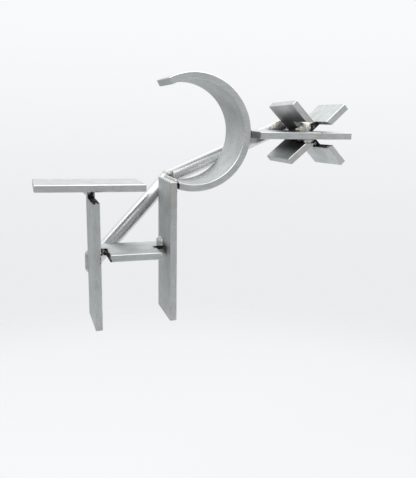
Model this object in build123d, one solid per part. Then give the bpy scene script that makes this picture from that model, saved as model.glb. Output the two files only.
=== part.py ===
from build123d import *
import math
import os

# Stamp head of a branding iron: flat steel bars and a split ring stand on edge behind one flat
# working face and are welded to each other and to a bent round-bar spine across the back.
# Millimetres. +X runs along the head, +Z is up, and the working face looks towards -Y.
# The origin is the handle seat: the rear of the spine, where its two rods meet.

# Stock
bar_thickness = 6.35
bar_width = 50.8
bar_edge_radius = 0.8
rod_diameter = 14.3
rod_edge_radius = 0.8
root_gap = 0.1

# Planes along Y, worked out from the stock
back_y = -rod_diameter - root_gap
face_y = back_y - bar_width
rod_y = -rod_diameter / 2

# T bar
t_bar_length = 93.5
t_bar_x = -79.6
t_bar_z = -2.5
t_bar_tilt = -0.6

# Posts and crossbar
left_post_x = -76.0
left_post_foot_z = -128.7
left_post_lean = 0.3
right_post_x = -8.7
right_post_foot_z = -125.2
right_post_length = 127.0
right_post_skew = -0.7
crossbar_z = -63.8

# Split ring, angles counted from +X towards +Z
ring_x = 10.5
ring_z = 44.4
ring_outer_radius = 51.4
ring_start_x = -4.1
ring_end_angle = 118.0
ring_end_skew = -1.0

# Star: one long bar and four short arms, each aimed at a point on the long bar's centre line
star_bar_z = 42.4
star_bar_tip_x = 164.2
star_bar_roll = 1.0
STAR_ARMS = {
    # name: (root x, direction, reach to the tip, twist, height of its vent, slope of the vent's end)
    "star_arm_upper_left": (133.1, 134.8, 42.2, 2.2, 9.4, 0.0),
    "star_arm_upper_right": (126.7, 42.5, 40.8, 0.0, 8.6, -23.0),
    "star_arm_lower_left": (129.2, 220.4, 36.6, 0.0, 3.6, 0.0),
    "star_arm_lower_right": (132.7, 314.0, 34.9, -1.3, 6.4, 23.0),
}

# Heat vents: square notches cut into the working face beside each joint
post_vent_height = 9.5
post_vent_depth = 35.0
crossbar_vent_width = 8.0
crossbar_vent_depth = 28.0
star_bar_vent_width = 9.2
star_vent_depth = 25.0

# Spine: two straight rods that meet at the origin
lower_rod_angle = 47.2
lower_rod_length = 111.0
upper_rod_angle = 23.0
upper_rod_length = 140.0

# Welds, by the radius of the bead
collar_weld = 0.9
seam_weld = 1.8
small_weld = 3.2
weld = 4.2
large_weld = 5.3

# Side of the blocks that trim everything on one side of a plane
trim_size = 400.0


def save(name, shape):
    """Writes the largest solid of a shape as one node."""
    solid = shape.solids().sort_by(SortBy.VOLUME)[-1]
    export_step(solid, f"parts/{name}.step")
    return solid


def flat_bar(length, x, z, angle, roll=0.0, skew=0.0, twist=0.0, radius=bar_edge_radius, square_start=False):
    """A bar on edge centred at x, z, lengthwise at an angle from +X, its front edge on the working face."""
    bar = Box(length, bar_width, bar_thickness)
    if radius:
        start_edges = bar.edges().group_by(Axis.X)[0] if square_start else []
        bar = fillet([edge for edge in bar.edges() if edge not in start_edges], radius)
    turned = Rot(roll, 0, skew) * Rot(0, -angle, 0) * Rot(twist, 0, 0) * Pos(0, bar_width / 2, 0) * bar
    return Pos(x, face_y, z) * turned


def vent(x_low, x_high, z_low, z_high, depth):
    """The space that a notch takes out of a bar, open at the working face."""
    size = (x_high - x_low, 2 * depth, z_high - z_low)
    return Pos((x_low + x_high) / 2, face_y, (z_low + z_high) / 2) * Box(*size)


def rod_along(angle, start, end):
    """A round bar through the spine's elbow axis, between two distances from the elbow."""
    rod = Cylinder(rod_diameter / 2, end - start)
    rod = fillet(rod.edges(), rod_edge_radius)
    middle = (start + end) / 2
    offset = Pos(middle * math.cos(math.radians(angle)), rod_y, middle * math.sin(math.radians(angle)))
    return offset * Rot(0, 90 - angle, 0) * rod


def beyond_elbow(angle):
    """A block that fills the far side of a plane through the spine's elbow, its normal at an angle from +X."""
    return Pos(0, rod_y, 0) * Rot(0, -angle, 0) * Pos(trim_size / 2, 0, 0) * Box(trim_size, trim_size, trim_size)


def bead(start, end, radius):
    """A round-ended weld bead between two points."""
    first = Vector(*start)
    last = Vector(*end)
    run = last - first
    line = Plane(origin=(first + last) * 0.5, z_dir=run)
    body = line * Cylinder(radius, run.length)
    return body + Pos(*start) * Sphere(radius) + Pos(*end) * Sphere(radius)


def along_rod(angle, distance, side, y):
    """The point beside a spine rod at a distance from the elbow, offset square to the rod."""
    turn = math.radians(angle)
    x = distance * math.cos(turn) - side * math.sin(turn)
    z = distance * math.sin(turn) + side * math.cos(turn)
    return (x, y, z)


def rod_bead(angle, distance, side, half_length, radius):
    """A bead beside a spine rod, in the corner between the rod and the back of a bar."""
    start = along_rod(angle, distance - half_length, side, back_y)
    end = along_rod(angle, distance + half_length, side, back_y)
    return bead(start, end, radius)


def side_bead(x, z, front_y, radius, rear_y=back_y):
    """A bead in the corner at x, z that runs back along the bars and stops flush with their rear edges."""
    behind_bars = Pos(x, back_y + trim_size / 2, z) * Box(trim_size, trim_size, trim_size)
    return bead((x, front_y + radius, z), (x, rear_y, z), radius) - behind_bars


def distance_at_x(angle, x):
    """How far along a spine rod it passes behind x."""
    return x / math.cos(math.radians(angle))


# Posts, T bar and crossbar
t_bar = flat_bar(t_bar_length, t_bar_x, t_bar_z, t_bar_tilt)
t_bar_block = flat_bar(t_bar_length, t_bar_x, t_bar_z, t_bar_tilt, radius=0)
t_bar_under_z = t_bar_z - bar_thickness / 2

left_post_length = t_bar_z - left_post_foot_z
left_post_z = (t_bar_z + left_post_foot_z) / 2
left_post_shape = (left_post_length, left_post_x, left_post_z, 90 + left_post_lean)
left_post_block = flat_bar(*left_post_shape, radius=0)
post_vent = vent(
    left_post_x - bar_thickness,
    left_post_x + bar_thickness,
    t_bar_under_z - post_vent_height,
    t_bar_z,
    post_vent_depth,
)
left_post = flat_bar(*left_post_shape) - t_bar_block - post_vent

right_post_z = right_post_foot_z + right_post_length / 2
right_post_shape = (right_post_length, right_post_x, right_post_z, 90)
right_post = flat_bar(*right_post_shape, skew=right_post_skew)
right_post_block = flat_bar(*right_post_shape, skew=right_post_skew, radius=0)

crossbar_length = right_post_x - left_post_x
crossbar_x = (left_post_x + right_post_x) / 2
left_post_face_x = left_post_x + bar_thickness / 2
right_post_face_x = right_post_x - bar_thickness / 2
crossbar = flat_bar(crossbar_length, crossbar_x, crossbar_z, 0) - left_post_block - right_post_block
for low_x, high_x in (
    (left_post_x, left_post_face_x + crossbar_vent_width),
    (right_post_face_x - crossbar_vent_width, right_post_x),
):
    crossbar -= vent(
        low_x, high_x, crossbar_z - bar_thickness, crossbar_z + bar_thickness, crossbar_vent_depth
    )

# Split ring
back_plane = Plane.XZ.offset(-back_y)
outer_disc = Pos(ring_x, ring_z) * Circle(ring_outer_radius)
inner_disc = Pos(ring_x, ring_z) * Circle(ring_outer_radius - bar_thickness)
split_ring = extrude(back_plane * (outer_disc - inner_disc), bar_width)
ring_end = Pos(ring_x, face_y, ring_z) * Rot(0, -ring_end_angle, 0) * Rot(ring_end_skew, 0, 0)
ring_diameter = 2 * ring_outer_radius
gap_block = Box(ring_diameter, 2 * ring_diameter, ring_diameter)
split_ring -= ring_end * Pos(ring_outer_radius, 0, ring_outer_radius) * gap_block
split_ring -= Pos(ring_start_x - ring_outer_radius, face_y, ring_z - ring_outer_radius) * gap_block
split_ring = fillet(split_ring.solids().sort_by(SortBy.VOLUME)[-1].edges(), bar_edge_radius)
ring_core = extrude(back_plane * outer_disc, 2 * bar_width, both=True)

# Star
star_bar_start_x = ring_x + ring_outer_radius - bar_thickness / 2
star_bar_length = star_bar_tip_x - star_bar_start_x
star_bar_x = (star_bar_tip_x + star_bar_start_x) / 2
star_bar_shape = (star_bar_length, star_bar_x, star_bar_z, 0)
star_bar_block = flat_bar(*star_bar_shape, roll=star_bar_roll, radius=0)
star_bar = flat_bar(*star_bar_shape, roll=star_bar_roll) - ring_core
star_bar -= vent(
    star_bar_start_x - bar_thickness,
    ring_x + ring_outer_radius + star_bar_vent_width,
    star_bar_z - bar_thickness,
    star_bar_z + bar_thickness,
    star_vent_depth,
)
star_bar_top_z = star_bar_z + bar_thickness / 2
star_bar_under_z = star_bar_z - bar_thickness / 2
star_arms = {}
for name, (root_x, direction, reach, twist, vent_height, vent_slope) in STAR_ARMS.items():
    turn = math.radians(direction)
    side = math.copysign(1, math.sin(turn))
    middle_x = root_x + reach / 2 * math.cos(turn)
    middle_z = star_bar_z + reach / 2 * math.sin(turn)
    arm = flat_bar(reach, middle_x, middle_z, direction, twist=twist, square_start=True) - star_bar_block
    vent_rise = side * (bar_thickness / 2 + vent_height)
    vent_end = Pos(root_x + vent_rise / math.tan(turn), face_y, star_bar_z + vent_rise) * Rot(0, -vent_slope, 0)
    arm -= vent_end * Pos(0, 0, -side * bar_width / 2) * Box(bar_width, 2 * star_vent_depth, bar_width)
    for earlier in star_arms.values():
        arm -= earlier
    star_arms[name] = arm.solids().sort_by(SortBy.VOLUME)[-1]

# Spine: both rods are mitred on the plane that halves their angle
mitre_angle = (lower_rod_angle + upper_rod_angle) / 2
lower_rod = rod_along(lower_rod_angle, -lower_rod_length, rod_diameter) - beyond_elbow(mitre_angle)
upper_rod = rod_along(upper_rod_angle, -rod_diameter, upper_rod_length)
upper_rod -= beyond_elbow(mitre_angle + 180)

steel = {
    "t_top_bar": t_bar,
    "left_post": left_post,
    "right_post": right_post,
    "crossbar": crossbar,
    "split_ring": split_ring,
    "star_long_bar": star_bar,
    **star_arms,
    "spine_lower_rod": lower_rod,
    "spine_upper_rod": upper_rod,
}
for name, shape in steel.items():
    steel[name] = save(name, shape)

# Welds: each bead lies along a joint and is cut flush with the steel around it
post_vent_y = face_y + post_vent_depth
crossbar_vent_y = face_y + crossbar_vent_depth
star_vent_y = face_y + star_vent_depth
crossbar_top_z = crossbar_z + bar_thickness / 2
crossbar_under_z = crossbar_z - bar_thickness / 2
ring_right_x = ring_x + ring_outer_radius
ring_foot_z = ring_z - math.sqrt(ring_outer_radius**2 - (ring_x - ring_start_x) ** 2)
ring_floor_z = ring_foot_z + bar_thickness
hub_x = sum(root_x for root_x, *rest in STAR_ARMS.values()) / len(STAR_ARMS)
left_post_crossing_z = left_post_x * math.tan(math.radians(lower_rod_angle))
right_post_crossing = distance_at_x(lower_rod_angle, right_post_x)
ring_crossing = distance_at_x(upper_rod_angle, ring_right_x - bar_thickness)
star_bar_crossing = star_bar_z / math.sin(math.radians(upper_rod_angle))
rod_side = rod_diameter / 3
collar = Cylinder(rod_diameter / 2 + collar_weld, 2 * seam_weld)
elbow_collar = Pos(0, rod_y, 0) * Rot(0, 90 - mitre_angle, 0) * collar
seat_clearance = Pos(0, seam_weld, 0) * Box(2 * rod_diameter, rod_diameter, 2 * rod_diameter)
elbow_lump = bead((0, back_y, weld), (collar_weld, back_y, weld + collar_weld), small_weld)

welds = {
    "spine_elbow_weld": elbow_collar + elbow_lump - seat_clearance,
    "t_bar_weld_left": side_bead(
        left_post_x - bar_thickness / 2, t_bar_under_z - weld, post_vent_y, small_weld
    ),
    "t_bar_weld_right": side_bead(left_post_x + bar_thickness / 2, t_bar_under_z, post_vent_y, small_weld),
    "crossbar_weld_left_upper": side_bead(left_post_face_x, crossbar_top_z, crossbar_vent_y, weld),
    "crossbar_weld_left_lower": side_bead(left_post_face_x, crossbar_under_z, crossbar_vent_y, small_weld),
    "crossbar_weld_right_upper": side_bead(
        right_post_face_x, crossbar_top_z, crossbar_vent_y, weld, crossbar_vent_y + 2 * weld
    )
    + side_bead(
        right_post_face_x, crossbar_top_z + small_weld, crossbar_vent_y, weld, crossbar_vent_y + 2 * weld
    ),
    "crossbar_weld_right_lower": side_bead(right_post_face_x, crossbar_under_z, crossbar_vent_y, weld),
    "ring_foot_weld_upper": side_bead(ring_start_x, ring_floor_z, face_y + crossbar_vent_width, seam_weld),
    "ring_foot_weld_lower": side_bead(ring_start_x, ring_foot_z, star_vent_y, small_weld),
    "star_bar_weld_upper": side_bead(ring_right_x, star_bar_top_z, star_vent_y, small_weld)
    + bead(
        (ring_right_x, star_vent_y + seam_weld, star_bar_top_z),
        (ring_right_x + star_bar_vent_width, star_vent_y + seam_weld, star_bar_top_z),
        seam_weld,
    ),
    "star_bar_weld_lower": side_bead(ring_right_x, star_bar_under_z, star_vent_y, small_weld),
    "hub_weld_upper": bead(
        (hub_x - weld, star_vent_y, star_bar_top_z + small_weld),
        (hub_x - small_weld, star_vent_y, star_bar_top_z + weld),
        large_weld,
    ),
    "hub_weld_lower": bead(
        (hub_x - 2 * small_weld, star_vent_y, star_bar_under_z),
        (hub_x + seam_weld, star_vent_y, star_bar_under_z),
        weld,
    ),
    "spine_left_post_weld": bead(
        (left_post_x, back_y + seam_weld, left_post_crossing_z - seam_weld),
        (left_post_x, back_y + seam_weld, left_post_crossing_z + 2 * large_weld),
        large_weld,
    ),
    "spine_right_post_weld": rod_bead(lower_rod_angle, right_post_crossing, -rod_side, weld, small_weld),
    "spine_ring_weld": rod_bead(upper_rod_angle, ring_crossing, -rod_side, weld, weld),
    "spine_star_bar_weld": rod_bead(
        upper_rod_angle, star_bar_crossing + rod_diameter, -rod_diameter / 2, small_weld, seam_weld
    ),
    "spine_arm_weld": rod_bead(
        upper_rod_angle, star_bar_crossing + rod_diameter - seam_weld, rod_side, seam_weld, small_weld
    ),
}
finished = dict(steel)
for name, shape in welds.items():
    reach = shape.bounding_box()
    for other in finished.values():
        if reach.overlaps(other.bounding_box()):
            shape = shape - other
    finished[name] = save(name, shape)
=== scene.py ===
import itertools
import math

import bmesh
import bpy
from mathutils import Euler, Matrix, Vector, noise


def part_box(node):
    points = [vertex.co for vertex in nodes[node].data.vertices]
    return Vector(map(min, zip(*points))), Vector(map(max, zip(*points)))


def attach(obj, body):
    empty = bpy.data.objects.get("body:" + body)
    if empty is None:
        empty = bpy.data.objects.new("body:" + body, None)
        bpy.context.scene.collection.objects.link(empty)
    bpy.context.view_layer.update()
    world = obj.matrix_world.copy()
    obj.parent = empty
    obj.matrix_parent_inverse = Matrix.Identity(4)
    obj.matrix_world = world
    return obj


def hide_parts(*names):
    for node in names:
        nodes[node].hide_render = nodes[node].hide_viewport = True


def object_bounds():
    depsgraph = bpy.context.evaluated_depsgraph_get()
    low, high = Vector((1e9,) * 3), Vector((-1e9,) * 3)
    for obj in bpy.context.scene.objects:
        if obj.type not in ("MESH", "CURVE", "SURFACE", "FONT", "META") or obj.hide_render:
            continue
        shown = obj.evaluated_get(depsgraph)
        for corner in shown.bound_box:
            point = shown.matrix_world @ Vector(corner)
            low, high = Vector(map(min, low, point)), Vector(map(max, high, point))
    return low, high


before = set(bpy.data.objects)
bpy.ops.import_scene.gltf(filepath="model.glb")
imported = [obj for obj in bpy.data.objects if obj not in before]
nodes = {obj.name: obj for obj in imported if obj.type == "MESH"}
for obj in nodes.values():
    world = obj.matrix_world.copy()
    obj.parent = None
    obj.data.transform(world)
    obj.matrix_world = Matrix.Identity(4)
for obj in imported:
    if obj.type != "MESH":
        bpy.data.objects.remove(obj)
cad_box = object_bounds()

# All lengths are in metres, in the part's own frame: +X along the head, +Z up, working face towards -Y
scene = bpy.context.scene

# Camera
CAMERA_PLACE = (-0.1349, -0.5615, 0.0571)
CAMERA_TURN_DEG = (78.36, -0.96, -17.48)
LENS_MM = 44.24
SENSOR_MM = 36.0

# Studio
FLOOR_DROP = 0.35
FLOOR_HALF = 6.0
FLOOR_FADE = (0.72, 1.15)
FLOOR_COLOUR = (0.715, 0.72, 0.725, 1)

# Light in the tent, as soft lobes that point every way out from the part. Each height has one rule:
# the strength straight ahead, what the sides add, what the right adds and what the back adds
TENT_FOCUS = 6.0
TENT_COLOUR = (0.985, 0.998, 1.0, 1)
TENT_LEVELS = {-1: (0.13, 0.12, 0.07, 0.02), 0: (0.19, 0.20, 0.115, 0.05), 1: (0.72, -0.05, 0.11, 0.13)}
# What single lobes add: the strip above the back, the gap above the front, the left wall and the floor
TENT_PANELS = {
    (0, 1, 1): 0.17,
    (0, -1, 1): -0.17,
    (-1, 0, 0): 0.18,
    (-1, 0, -1): 0.12,
    (0, 0, -1): 0.09,
}
BACKDROP_RISE = (-0.24, 0.20)
BACKDROP_TONES = (0.85, 0.965)
BACKDROP_COLOUR = (0.985, 0.99, 1.0, 1)
# Softboxes: the place of each, the point it is aimed at, its size and its watts
SOFTBOXES = {
    "front_softbox": ((-0.24, -1.05, 0.62), (0.03, -0.03, -0.01), (0.55, 0.42), 1.7),
    "top_softbox": ((0.10, -0.10, 0.98), (0.0, -0.03, -0.03), (0.85, 0.30), 1.5),
    "left_softbox": ((-0.59, -0.42, 0.72), (-0.02, -0.02, -0.03), (0.60, 0.60), 1.5),
    "rod_front_softbox": ((-0.55, -0.52, 0.69), (-0.02, -0.02, -0.03), (1.15, 0.95), 4.2),
    "rod_back_softbox": ((-0.66, 0.10, 0.75), (-0.02, -0.02, -0.03), (0.50, 0.50), 0.8),
}

# Steel: the direction each bar runs in, in degrees from +X towards +Z, and the two finishes
BAR_DIRECTIONS = {
    "t_top_bar": -0.6,
    "left_post": 90.3,
    "right_post": 90.0,
    "crossbar": 0.0,
    "split_ring": 0.0,
    "star_long_bar": 0.0,
    "star_arm_upper_left": 134.8,
    "star_arm_upper_right": 42.5,
    "star_arm_lower_left": 220.4,
    "star_arm_lower_right": 314.0,
    "spine_lower_rod": 47.2,
    "spine_upper_rod": 23.0,
}
FLAT_BAR = {
    "light": (0.632, 0.652, 0.655, 1),
    "dark": (0.424, 0.445, 0.447, 1),
    "roughness": 0.46,
    "stretch": 0.15,
    "grain": 0.00006,
    # strength of the painted highlight and polish on the edges that face up
    "edge": 0.9,
}
ROUND_BAR = {
    "light": (0.68, 0.685, 0.69, 1),
    "dark": (0.61, 0.615, 0.62, 1),
    "roughness": 0.29,
    "stretch": 0.3,
    "grain": 0.00001,
    "edge": 0.0,
}
# Steel's tone is a mix of three noises: cloudy patches, a fine speckle and streaks along the bar
PATCH_SCALE = 60
SPECKLE_SCALE = 1500
STREAK_SCALE = 800
PATCH_SHARE, SPECKLE_SHARE, STREAK_SHARE = 0.26, 0.46, 0.28
TONE_RANGE = (0.36, 0.64)
ROUGHNESS_SPREAD = 0.05
BUMP_STRENGTH = 0.4
SPECKLE_HEIGHT = 0.6

# Polished edges with a painted highlight: how far a face turns from the front and up before it counts as one
# of the edges; edges that face up are painted lighter and made a little smoother
EDGE_TURN = (0.12, 0.5)
EDGE_LIFT = (0.05, 0.45)
EDGE_POLISH = 0.18
EDGE_HIGHLIGHT_COLOUR = (0.93, 0.935, 0.94, 1)

# Heat marks and painted shade: a near-black sooty mask darkens vents, gaps and the corners round the hub,
# painted shade as well as sooty heat marks, with heat tint round it. Columns: the one bar whose sides it
# darkens or None for all, centre, half size, soft border and strength of the sooty black and painted shade
SOOT_AND_SHADE_COLOUR = (0.035, 0.036, 0.04, 1)
TINT_COLOUR = (0.86, 0.80, 0.70, 1)
TINT_STRENGTH = 0.35
TINT_SPREAD = 0.005
SOOT_AND_SHADE_RAGGED = 0.005
SOOT_AND_SHADE_NOISE = (420, 0.50)
SOOT_AND_SHADE_ROUGHNESS = 0.15
SIDE_TURN = (0.05, 0.5)
HEAT_AND_SHADE_MARKS = [
    (None, (-0.0760, -0.0480, -0.0104), (0.0045, 0.0180, 0.0046), 0.0007, 1.0),
    (None, (-0.0689, -0.0512, -0.0638), (0.0043, 0.0140, 0.0036), 0.0007, 1.0),
    (None, (-0.0165, -0.0405, -0.0612), (0.0045, 0.0035, 0.0022), 0.0020, 1.0),
    (None, (-0.0125, -0.0450, -0.0622), (0.0010, 0.0050, 0.0020), 0.0045, 0.8),
    (None, (0.0665, -0.0527, 0.0415), (0.0040, 0.0125, 0.0024), 0.0008, 0.45),
    (None, (0.1280, -0.0630, 0.0500), (0.0060, 0.0030, 0.0038), 0.0010, 0.9),
    (None, (0.1385, -0.0490, 0.0500), (0.0075, 0.0100, 0.0038), 0.0010, 0.9),
    (None, (0.1325, -0.0630, 0.0350), (0.0060, 0.0030, 0.0032), 0.0010, 1.0),
    (None, (0.1390, -0.0490, 0.0350), (0.0085, 0.0100, 0.0032), 0.0010, 1.0),
    (None, (0.1150, -0.0280, 0.0488), (0.0050, 0.0100, 0.0012), 0.0035, 0.9),
    (None, (0.1230, -0.0400, 0.0360), (0.0030, 0.0080, 0.0025), 0.0080, 0.9),
    (None, (-0.0048, -0.0610, -0.0025), (0.0007, 0.0045, 0.0035), 0.0003, 1.0),
    (None, (0.0020, -0.0155, 0.0012), (0.0014, 0.0010, 0.0008), 0.0012, 1.0),
    ("right_post", (-0.0085, -0.0645, -0.0105), (0.0045, 0.0010, 0.0090), 0.0010, 0.0),
    ("star_arm_lower_left", (0.1180, -0.0400, 0.0360), (0.0060, 0.0260, 0.0040), 0.0140, 0.95),
    ("star_arm_upper_left", (0.1150, -0.0450, 0.0530), (0.0030, 0.0210, 0.0030), 0.0190, 0.75),
]

# Welds: the way each bead runs, its finish, and how deep its ripples and lumps are
WELDS = {
    "spine_elbow_weld": ((0.82, 0, 0.57), "plain", 0.10),
    "t_bar_weld_left": ((0, 1, 0), "plain", 1.0),
    "t_bar_weld_right": ((0, 1, 0), "plain", 1.0),
    # The lightest finish on welds that face up is partly a painted highlight
    "crossbar_weld_left_upper": ((0, 1, 0), "bright_and_lit", 1.0),
    "crossbar_weld_left_lower": ((0, 1, 0), "plain", 1.0),
    "crossbar_weld_right_upper": ((0, 1, 0), "pale", 0.8),
    "crossbar_weld_right_lower": ((0, 1, 0), "plain", 1.0),
    "ring_foot_weld_upper": ((0, 1, 0), "plain", 0.5),
    "ring_foot_weld_lower": ((0, 1, 0), "plain", 1.0),
    "star_bar_weld_upper": ((0, 1, 0), "plain", 1.0),
    "star_bar_weld_lower": ((0, 1, 0), "plain", 1.0),
    "hub_weld_upper": ((1, 0, 0), "bright_and_lit", 1.3),
    "hub_weld_lower": ((1, 0, 0), "plain", 1.0),
    "spine_left_post_weld": ((0, 0, 1), "grey", 0.3),
    "spine_right_post_weld": ((0.68, 0, 0.73), "plain", 1.0),
    "spine_ring_weld": ((0.92, 0, 0.39), "plain", 1.0),
    "spine_star_bar_weld": ((0.92, 0, 0.39), "plain", 1.0),
    "spine_arm_weld": ((0.92, 0, 0.39), "bright_and_lit", 1.0),
}
# Loose drops beside a weld: centre and radius
WELD_DROPS = {
    "hub_weld_upper": [((0.1202, -0.0415, 0.0482), 0.0012), ((0.1184, -0.0412, 0.0478), 0.0010)],
}
WELD_PATCH_SCALE = 260
WELD_PATCH_RANGE = (0.38, 0.62)
WELD_ROUGHNESS = (0.50, 0.28)
WELD_ROUGHNESS_RANGE = (0.3, 0.7)
CRUST_SCALE = 2200
CRUST_STRENGTH = 0.5
CRUST_DEPTH = 0.00008
# Weld colours: light, dark and metallic. The lightest finish, on welds that face up, is weld metal painted
# lighter: partly its own colour, partly a painted highlight
WELD_FINISHES = {
    "bright_and_lit": ((0.93, 0.92, 0.88, 1), (0.76, 0.73, 0.64, 1), 0.6),
    "plain": ((0.61, 0.61, 0.60, 1), (0.45, 0.445, 0.43, 1), 1.0),
    "pale": ((0.72, 0.75, 0.73, 1), (0.52, 0.56, 0.54, 1), 0.7),
    "grey": ((0.50, 0.52, 0.52, 1), (0.42, 0.44, 0.44, 1), 1.0),
}
MERGE_DISTANCE = 0.000005
BEAD_VOXEL = 0.0004
BEAD_SWELL = 0.00012
# How far a bead is drawn in from its solid, where it lies flush in life
BEAD_SINK = {"spine_elbow_weld": 0.0006}
BEAD_BOW = 0.006
RIPPLE_PITCH = 0.0017
RIPPLE_DEPTH = 0.00022
LUMP_SIZE = 0.0032
LUMP_DEPTH = 0.00035


def add(tree, kind, inputs=None, **settings):
    """A shader node, with its sockets given as values or as the sockets that feed them."""
    node = tree.nodes.new(kind)
    for key, value in settings.items():
        setattr(node, key, value)
    for name, value in (inputs or {}).items():
        if isinstance(value, bpy.types.NodeSocket):
            tree.links.new(value, node.inputs[name])
        else:
            node.inputs[name].default_value = value
    return node


def remap(tree, value, low, high, to_low, to_high):
    inputs = {"Value": value, "From Min": low, "From Max": high, "To Min": to_low, "To Max": to_high}
    return add(tree, "ShaderNodeMapRange", inputs, interpolation_type="SMOOTHSTEP").outputs["Result"]


def math_node(tree, operation, *values):
    inputs = dict(enumerate(values))
    return add(tree, "ShaderNodeMath", inputs, operation=operation).outputs["Value"]


def mix_colour(tree, factor, first, second, blend="MIX"):
    node = add(tree, "ShaderNodeMix", data_type="RGBA", blend_type=blend)
    for name, value in (("Factor_Float", factor), ("A_Color", first), ("B_Color", second)):
        socket = next(s for s in node.inputs if s.identifier == name)
        if isinstance(value, bpy.types.NodeSocket):
            tree.links.new(value, socket)
        else:
            socket.default_value = value
    return next(s for s in node.outputs if s.identifier == "Result_Color")


def noise_texture(tree, vector, scale, detail=2.0, roughness=0.5):
    inputs = {"Vector": vector, "Scale": scale, "Detail": detail, "Roughness": roughness}
    return add(tree, "ShaderNodeTexNoise", inputs).outputs["Fac"]


def place_camera():
    data = bpy.data.cameras.new("studio_camera")
    data.lens = LENS_MM
    data.sensor_width = SENSOR_MM
    data.clip_start = 0.01
    data.clip_end = 50
    camera = bpy.data.objects.new("studio_camera", data)
    camera.location = CAMERA_PLACE
    camera.rotation_euler = Euler([math.radians(a) for a in CAMERA_TURN_DEG], "XYZ")
    scene.collection.objects.link(camera)
    scene.camera = camera


def light_world():
    """A pale tent round the part, lit by soft lobes, one for each way out from it."""
    world = bpy.data.worlds.new("studio_world")
    world.use_nodes = True
    tree = world.node_tree
    tree.nodes.clear()
    way = add(tree, "ShaderNodeTexCoord").outputs["Generated"]
    glow = 0.0
    for lobe in itertools.product((-1, 0, 1), repeat=3):
        if not any(lobe):
            continue
        right, back, up = lobe
        ahead, from_sides, from_right, from_back = TENT_LEVELS[up]
        strength = ahead + from_sides * abs(right) + from_right * right + from_back * back
        strength += TENT_PANELS.get(lobe, 0.0)
        aim = {0: way, 1: Vector(lobe).normalized()}
        facing = add(tree, "ShaderNodeVectorMath", aim, operation="DOT_PRODUCT").outputs["Value"]
        focus = math_node(tree, "POWER", math_node(tree, "MAXIMUM", facing, 0.0), TENT_FOCUS)
        glow = math_node(tree, "MULTIPLY_ADD", focus, strength, glow)
    tent = add(tree, "ShaderNodeBackground", {"Color": TENT_COLOUR, "Strength": glow})
    height = add(tree, "ShaderNodeSeparateXYZ", {"Vector": way}).outputs["Z"]
    haze = remap(tree, height, *BACKDROP_RISE, *BACKDROP_TONES)
    backdrop = add(tree, "ShaderNodeBackground", {"Color": BACKDROP_COLOUR, "Strength": haze})
    seen = add(tree, "ShaderNodeLightPath").outputs["Is Camera Ray"]
    both = add(tree, "ShaderNodeMixShader", {0: seen, 1: tent.outputs[0], 2: backdrop.outputs[0]})
    add(tree, "ShaderNodeOutputWorld", {"Surface": both.outputs[0]})
    scene.world = world


def add_softboxes():
    """Soft area lights. The rods' own two light nothing else, and no bar casts their shadow."""
    rods = [nodes[node] for node in BAR_DIRECTIONS if node.endswith("_rod")]
    for name, (place, aim, size, watts) in SOFTBOXES.items():
        data = bpy.data.lights.new(name, "AREA")
        data.shape = "RECTANGLE"
        data.size, data.size_y = size
        data.energy = watts
        softbox = bpy.data.objects.new(name, data)
        softbox.location = place
        way = Vector(aim) - softbox.location
        softbox.rotation_euler = way.to_track_quat("-Z", "Y").to_euler()
        scene.collection.objects.link(softbox)
        for_rods = name.startswith("rod_")
        receivers = bpy.data.collections.new(name)
        for rod in rods:
            receivers.objects.link(rod)
        for link in receivers.collection_objects:
            link.light_linking.link_state = "INCLUDE" if for_rods else "EXCLUDE"
        softbox.light_linking.receiver_collection = receivers
        if for_rods:
            softbox.light_linking.blocker_collection = receivers


def make_floor():
    mesh = bpy.data.meshes.new("studio_floor")
    level = cad_box[0].z - FLOOR_DROP
    corners = [(x * FLOOR_HALF, y * FLOOR_HALF, level) for x, y in ((-1, -1), (1, -1), (1, 1), (-1, 1))]
    mesh.from_pydata(corners, [], [(0, 1, 2, 3)])
    floor = bpy.data.objects.new("studio_floor", mesh)
    scene.collection.objects.link(floor)
    material = bpy.data.materials.new("studio_floor")
    material.use_nodes = True
    tree = material.node_tree
    tree.nodes.clear()
    place = add(tree, "ShaderNodeTexCoord").outputs["Object"]
    flat = add(tree, "ShaderNodeVectorMath", {0: place, 1: (1, 1, 0)}, operation="MULTIPLY").outputs[0]
    far = add(tree, "ShaderNodeVectorMath", {0: flat}, operation="LENGTH").outputs["Value"]
    fade = remap(tree, far, *FLOOR_FADE, 0.0, 1.0)
    paper = add(tree, "ShaderNodeBsdfDiffuse", {"Color": FLOOR_COLOUR})
    clear = add(tree, "ShaderNodeBsdfTransparent")
    both = add(tree, "ShaderNodeMixShader", {0: fade, 1: paper.outputs[0], 2: clear.outputs[0]})
    add(tree, "ShaderNodeOutputMaterial", {"Surface": both.outputs[0]})
    mesh.materials.append(material)


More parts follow.
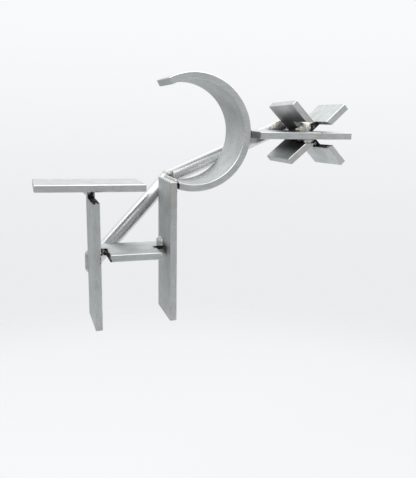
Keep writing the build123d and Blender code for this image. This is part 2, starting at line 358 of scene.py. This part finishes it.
def heat_and_shade_marks(tree, place, node, sideways):
    """Two masks from the marks that reach this bar: a near-black mask, sooty heat marks that also paint
    shade into vents, gaps and corners, and the wider heat tint round it.
    """
    low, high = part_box(node)
    soot_and_shade, tint = 0.0, 0.0
    scale, centred = SOOT_AND_SHADE_NOISE
    ragged = math_node(tree, "SUBTRACT", noise_texture(tree, place, scale, 3), centred)
    for only, centre, half, soft, strength in HEAT_AND_SHADE_MARKS:
        if only not in (None, node):
            continue
        reach = [h + soft + TINT_SPREAD for h in half]
        if any(c - r > b or c + r < a for c, r, a, b in zip(centre, reach, low, high)):
            continue
        offset = add(tree, "ShaderNodeVectorMath", {0: place, 1: centre}, operation="SUBTRACT").outputs[0]
        offset = add(tree, "ShaderNodeVectorMath", {0: offset}, operation="ABSOLUTE").outputs[0]
        offset = add(tree, "ShaderNodeVectorMath", {0: offset, 1: half}, operation="SUBTRACT").outputs[0]
        offset = add(tree, "ShaderNodeVectorMath", {0: offset, 1: (0, 0, 0)}, operation="MAXIMUM").outputs[0]
        far = add(tree, "ShaderNodeVectorMath", {0: offset}, operation="LENGTH").outputs["Value"]
        far = math_node(tree, "MULTIPLY_ADD", ragged, SOOT_AND_SHADE_RAGGED, far)
        mark = remap(tree, far, 0.0, soft, strength, 0.0)
        if only:
            mark = math_node(tree, "MULTIPLY", mark, sideways)
        soot_and_shade = math_node(tree, "MAXIMUM", soot_and_shade, mark)
        stain = remap(tree, far, 0.0, soft + TINT_SPREAD, TINT_STRENGTH, 0.0)
        tint = math_node(tree, "MAXIMUM", tint, stain)
    return soot_and_shade, tint


def steel_material(node, direction, finish):
    """Satin steel: a fine grain along the bar, cloudy patches, polished edges painted lighter where they
    face up (a painted highlight), heat tint, and a near-black sooty mask that paints shade into vents, gaps
    and corners as well as sooty heat marks.
    """
    material = bpy.data.materials.new(node + "_steel")
    material.use_nodes = True
    tree = material.node_tree
    shader = tree.nodes["Principled BSDF"]
    place = add(tree, "ShaderNodeTexCoord").outputs["Object"]
    turn = {"Vector": place, "Rotation": (0, math.radians(direction), 0)}
    along = add(tree, "ShaderNodeMapping", turn).outputs[0]
    drawn = {0: along, 1: (finish["stretch"], 1, 1)}
    drawn = add(tree, "ShaderNodeVectorMath", drawn, operation="MULTIPLY").outputs[0]
    patches = noise_texture(tree, along, PATCH_SCALE, 3)
    speckle = noise_texture(tree, place, SPECKLE_SCALE, 2)
    streaks = noise_texture(tree, drawn, STREAK_SCALE, 3)
    tone = math_node(tree, "MULTIPLY", patches, PATCH_SHARE)
    tone = math_node(tree, "MULTIPLY_ADD", speckle, SPECKLE_SHARE, tone)
    tone = math_node(tree, "MULTIPLY_ADD", streaks, STREAK_SHARE, tone)
    colour = mix_colour(tree, remap(tree, tone, *TONE_RANGE, 0.0, 1.0), finish["dark"], finish["light"])
    roughest = finish["roughness"] + ROUGHNESS_SPREAD
    smoothest = finish["roughness"] - ROUGHNESS_SPREAD
    rough = remap(tree, tone, *TONE_RANGE, roughest, smoothest)

    facing = add(tree, "ShaderNodeNewGeometry").outputs["Normal"]
    facing = add(tree, "ShaderNodeSeparateXYZ", {"Vector": facing})
    fore = math_node(tree, "ABSOLUTE", facing.outputs["Y"])
    squared = math_node(tree, "MULTIPLY", fore, fore)
    aside = math_node(tree, "SQRT", math_node(tree, "SUBTRACT", 1.0, squared))
    edge = remap(tree, math_node(tree, "MINIMUM", fore, aside), *EDGE_TURN, 0.0, finish["edge"])
    # Only edges that face up get the lighter colour: a painted highlight where the light from above falls,
    # with real polish
    raised = remap(tree, facing.outputs["Z"], *EDGE_LIFT, 0.0, 1.0)
    edge = math_node(tree, "MULTIPLY", edge, raised)
    colour = mix_colour(tree, edge, colour, EDGE_HIGHLIGHT_COLOUR)
    rough = math_node(tree, "MULTIPLY_ADD", edge, -EDGE_POLISH, rough)

    sideways = remap(tree, fore, *SIDE_TURN, 1.0, 0.0)
    # The near-black mask paints shade into vents, gaps and corners as well as sooty heat marks; the heat
    # tint is the steel's own colour
    soot_and_shade, tint = heat_and_shade_marks(tree, place, node, sideways)
    colour = mix_colour(tree, tint, colour, TINT_COLOUR, "MULTIPLY")
    colour = mix_colour(tree, soot_and_shade, colour, SOOT_AND_SHADE_COLOUR)
    rough = math_node(tree, "MULTIPLY_ADD", soot_and_shade, SOOT_AND_SHADE_ROUGHNESS, rough)
    tree.links.new(colour, shader.inputs["Base Color"])
    tree.links.new(rough, shader.inputs["Roughness"])
    height = math_node(tree, "MULTIPLY_ADD", speckle, SPECKLE_HEIGHT, streaks)
    bump = {"Height": height, "Strength": BUMP_STRENGTH, "Distance": finish["grain"]}
    tree.links.new(add(tree, "ShaderNodeBump", bump).outputs[0], shader.inputs["Normal"])
    shader.inputs["Metallic"].default_value = 1.0
    return material


def weld_material(name, light, dark, metallic):
    """Bright weld metal with straw-coloured and grey patches."""
    material = bpy.data.materials.new(name)
    material.use_nodes = True
    tree = material.node_tree
    shader = tree.nodes["Principled BSDF"]
    place = add(tree, "ShaderNodeTexCoord").outputs["Object"]
    patches = noise_texture(tree, place, WELD_PATCH_SCALE, 3, 0.6)
    crust = noise_texture(tree, place, CRUST_SCALE, 2)
    colour = mix_colour(tree, remap(tree, patches, *WELD_PATCH_RANGE, 0.0, 1.0), dark, light)
    tree.links.new(colour, shader.inputs["Base Color"])
    rough = remap(tree, patches, *WELD_ROUGHNESS_RANGE, *WELD_ROUGHNESS)
    tree.links.new(rough, shader.inputs["Roughness"])
    bump = {"Height": crust, "Strength": CRUST_STRENGTH, "Distance": CRUST_DEPTH}
    tree.links.new(add(tree, "ShaderNodeBump", bump).outputs[0], shader.inputs["Normal"])
    shader.inputs["Metallic"].default_value = metallic
    return material


def weld_bead(node, axis, material, relief):
    """The weld node's body, remeshed finely and given the ripples and lumps of a hand-laid bead."""
    shape = bmesh.new()
    shape.from_mesh(nodes[node].data)
    bmesh.ops.remove_doubles(shape, verts=shape.verts, dist=MERGE_DISTANCE)
    for centre, radius in WELD_DROPS.get(node, []):
        spot = Matrix.Translation(centre)
        bmesh.ops.create_icosphere(shape, subdivisions=3, radius=radius, matrix=spot)
    mesh = bpy.data.meshes.new(node + "_bead")
    shape.to_mesh(mesh)
    shape.free()
    bead = bpy.data.objects.new(node + "_bead", mesh)
    scene.collection.objects.link(bead)
    remesh = bead.modifiers.new("fine", "REMESH")
    remesh.mode = "VOXEL"
    remesh.voxel_size = BEAD_VOXEL
    smooth = bead.modifiers.new("soften", "SMOOTH")
    smooth.factor = 0.5
    smooth.iterations = 4
    fine = bpy.data.meshes.new_from_object(bead.evaluated_get(bpy.context.evaluated_depsgraph_get()))
    bead.modifiers.clear()
    bead.data = fine
    bpy.data.meshes.remove(mesh)
    way = Vector(axis).normalized()
    low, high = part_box(node)
    middle = (low + high) / 2
    swell = BEAD_SWELL - BEAD_SINK.get(node, 0.0)
    for vertex, normal in zip(fine.vertices, [v.normal.copy() for v in fine.vertices]):
        offset = vertex.co - middle
        run = offset.dot(way)
        bow = (offset - way * run).length_squared / BEAD_BOW
        ripple = abs(math.sin(math.pi * (run + bow) / RIPPLE_PITCH))
        lump = noise.fractal(vertex.co / LUMP_SIZE, 1.0, 2.0, 3)
        vertex.co += normal * (swell + relief * (RIPPLE_DEPTH * ripple + LUMP_DEPTH * lump))
    for polygon in fine.polygons:
        polygon.use_smooth = True
    fine.materials.clear()
    fine.materials.append(material)
    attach(bead, "root")
    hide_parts(node)


place_camera()
light_world()
add_softboxes()
make_floor()

for node, direction in BAR_DIRECTIONS.items():
    finish = ROUND_BAR if node.endswith("_rod") else FLAT_BAR
    nodes[node].data.materials.clear()
    nodes[node].data.materials.append(steel_material(node, direction, finish))

weld_finishes = {name: weld_material("weld_" + name, *look) for name, look in WELD_FINISHES.items()}
for node, (axis, finish, relief) in WELDS.items():
    weld_bead(node, axis, weld_finishes[finish], relief)

scene.view_settings.view_transform = "Standard"
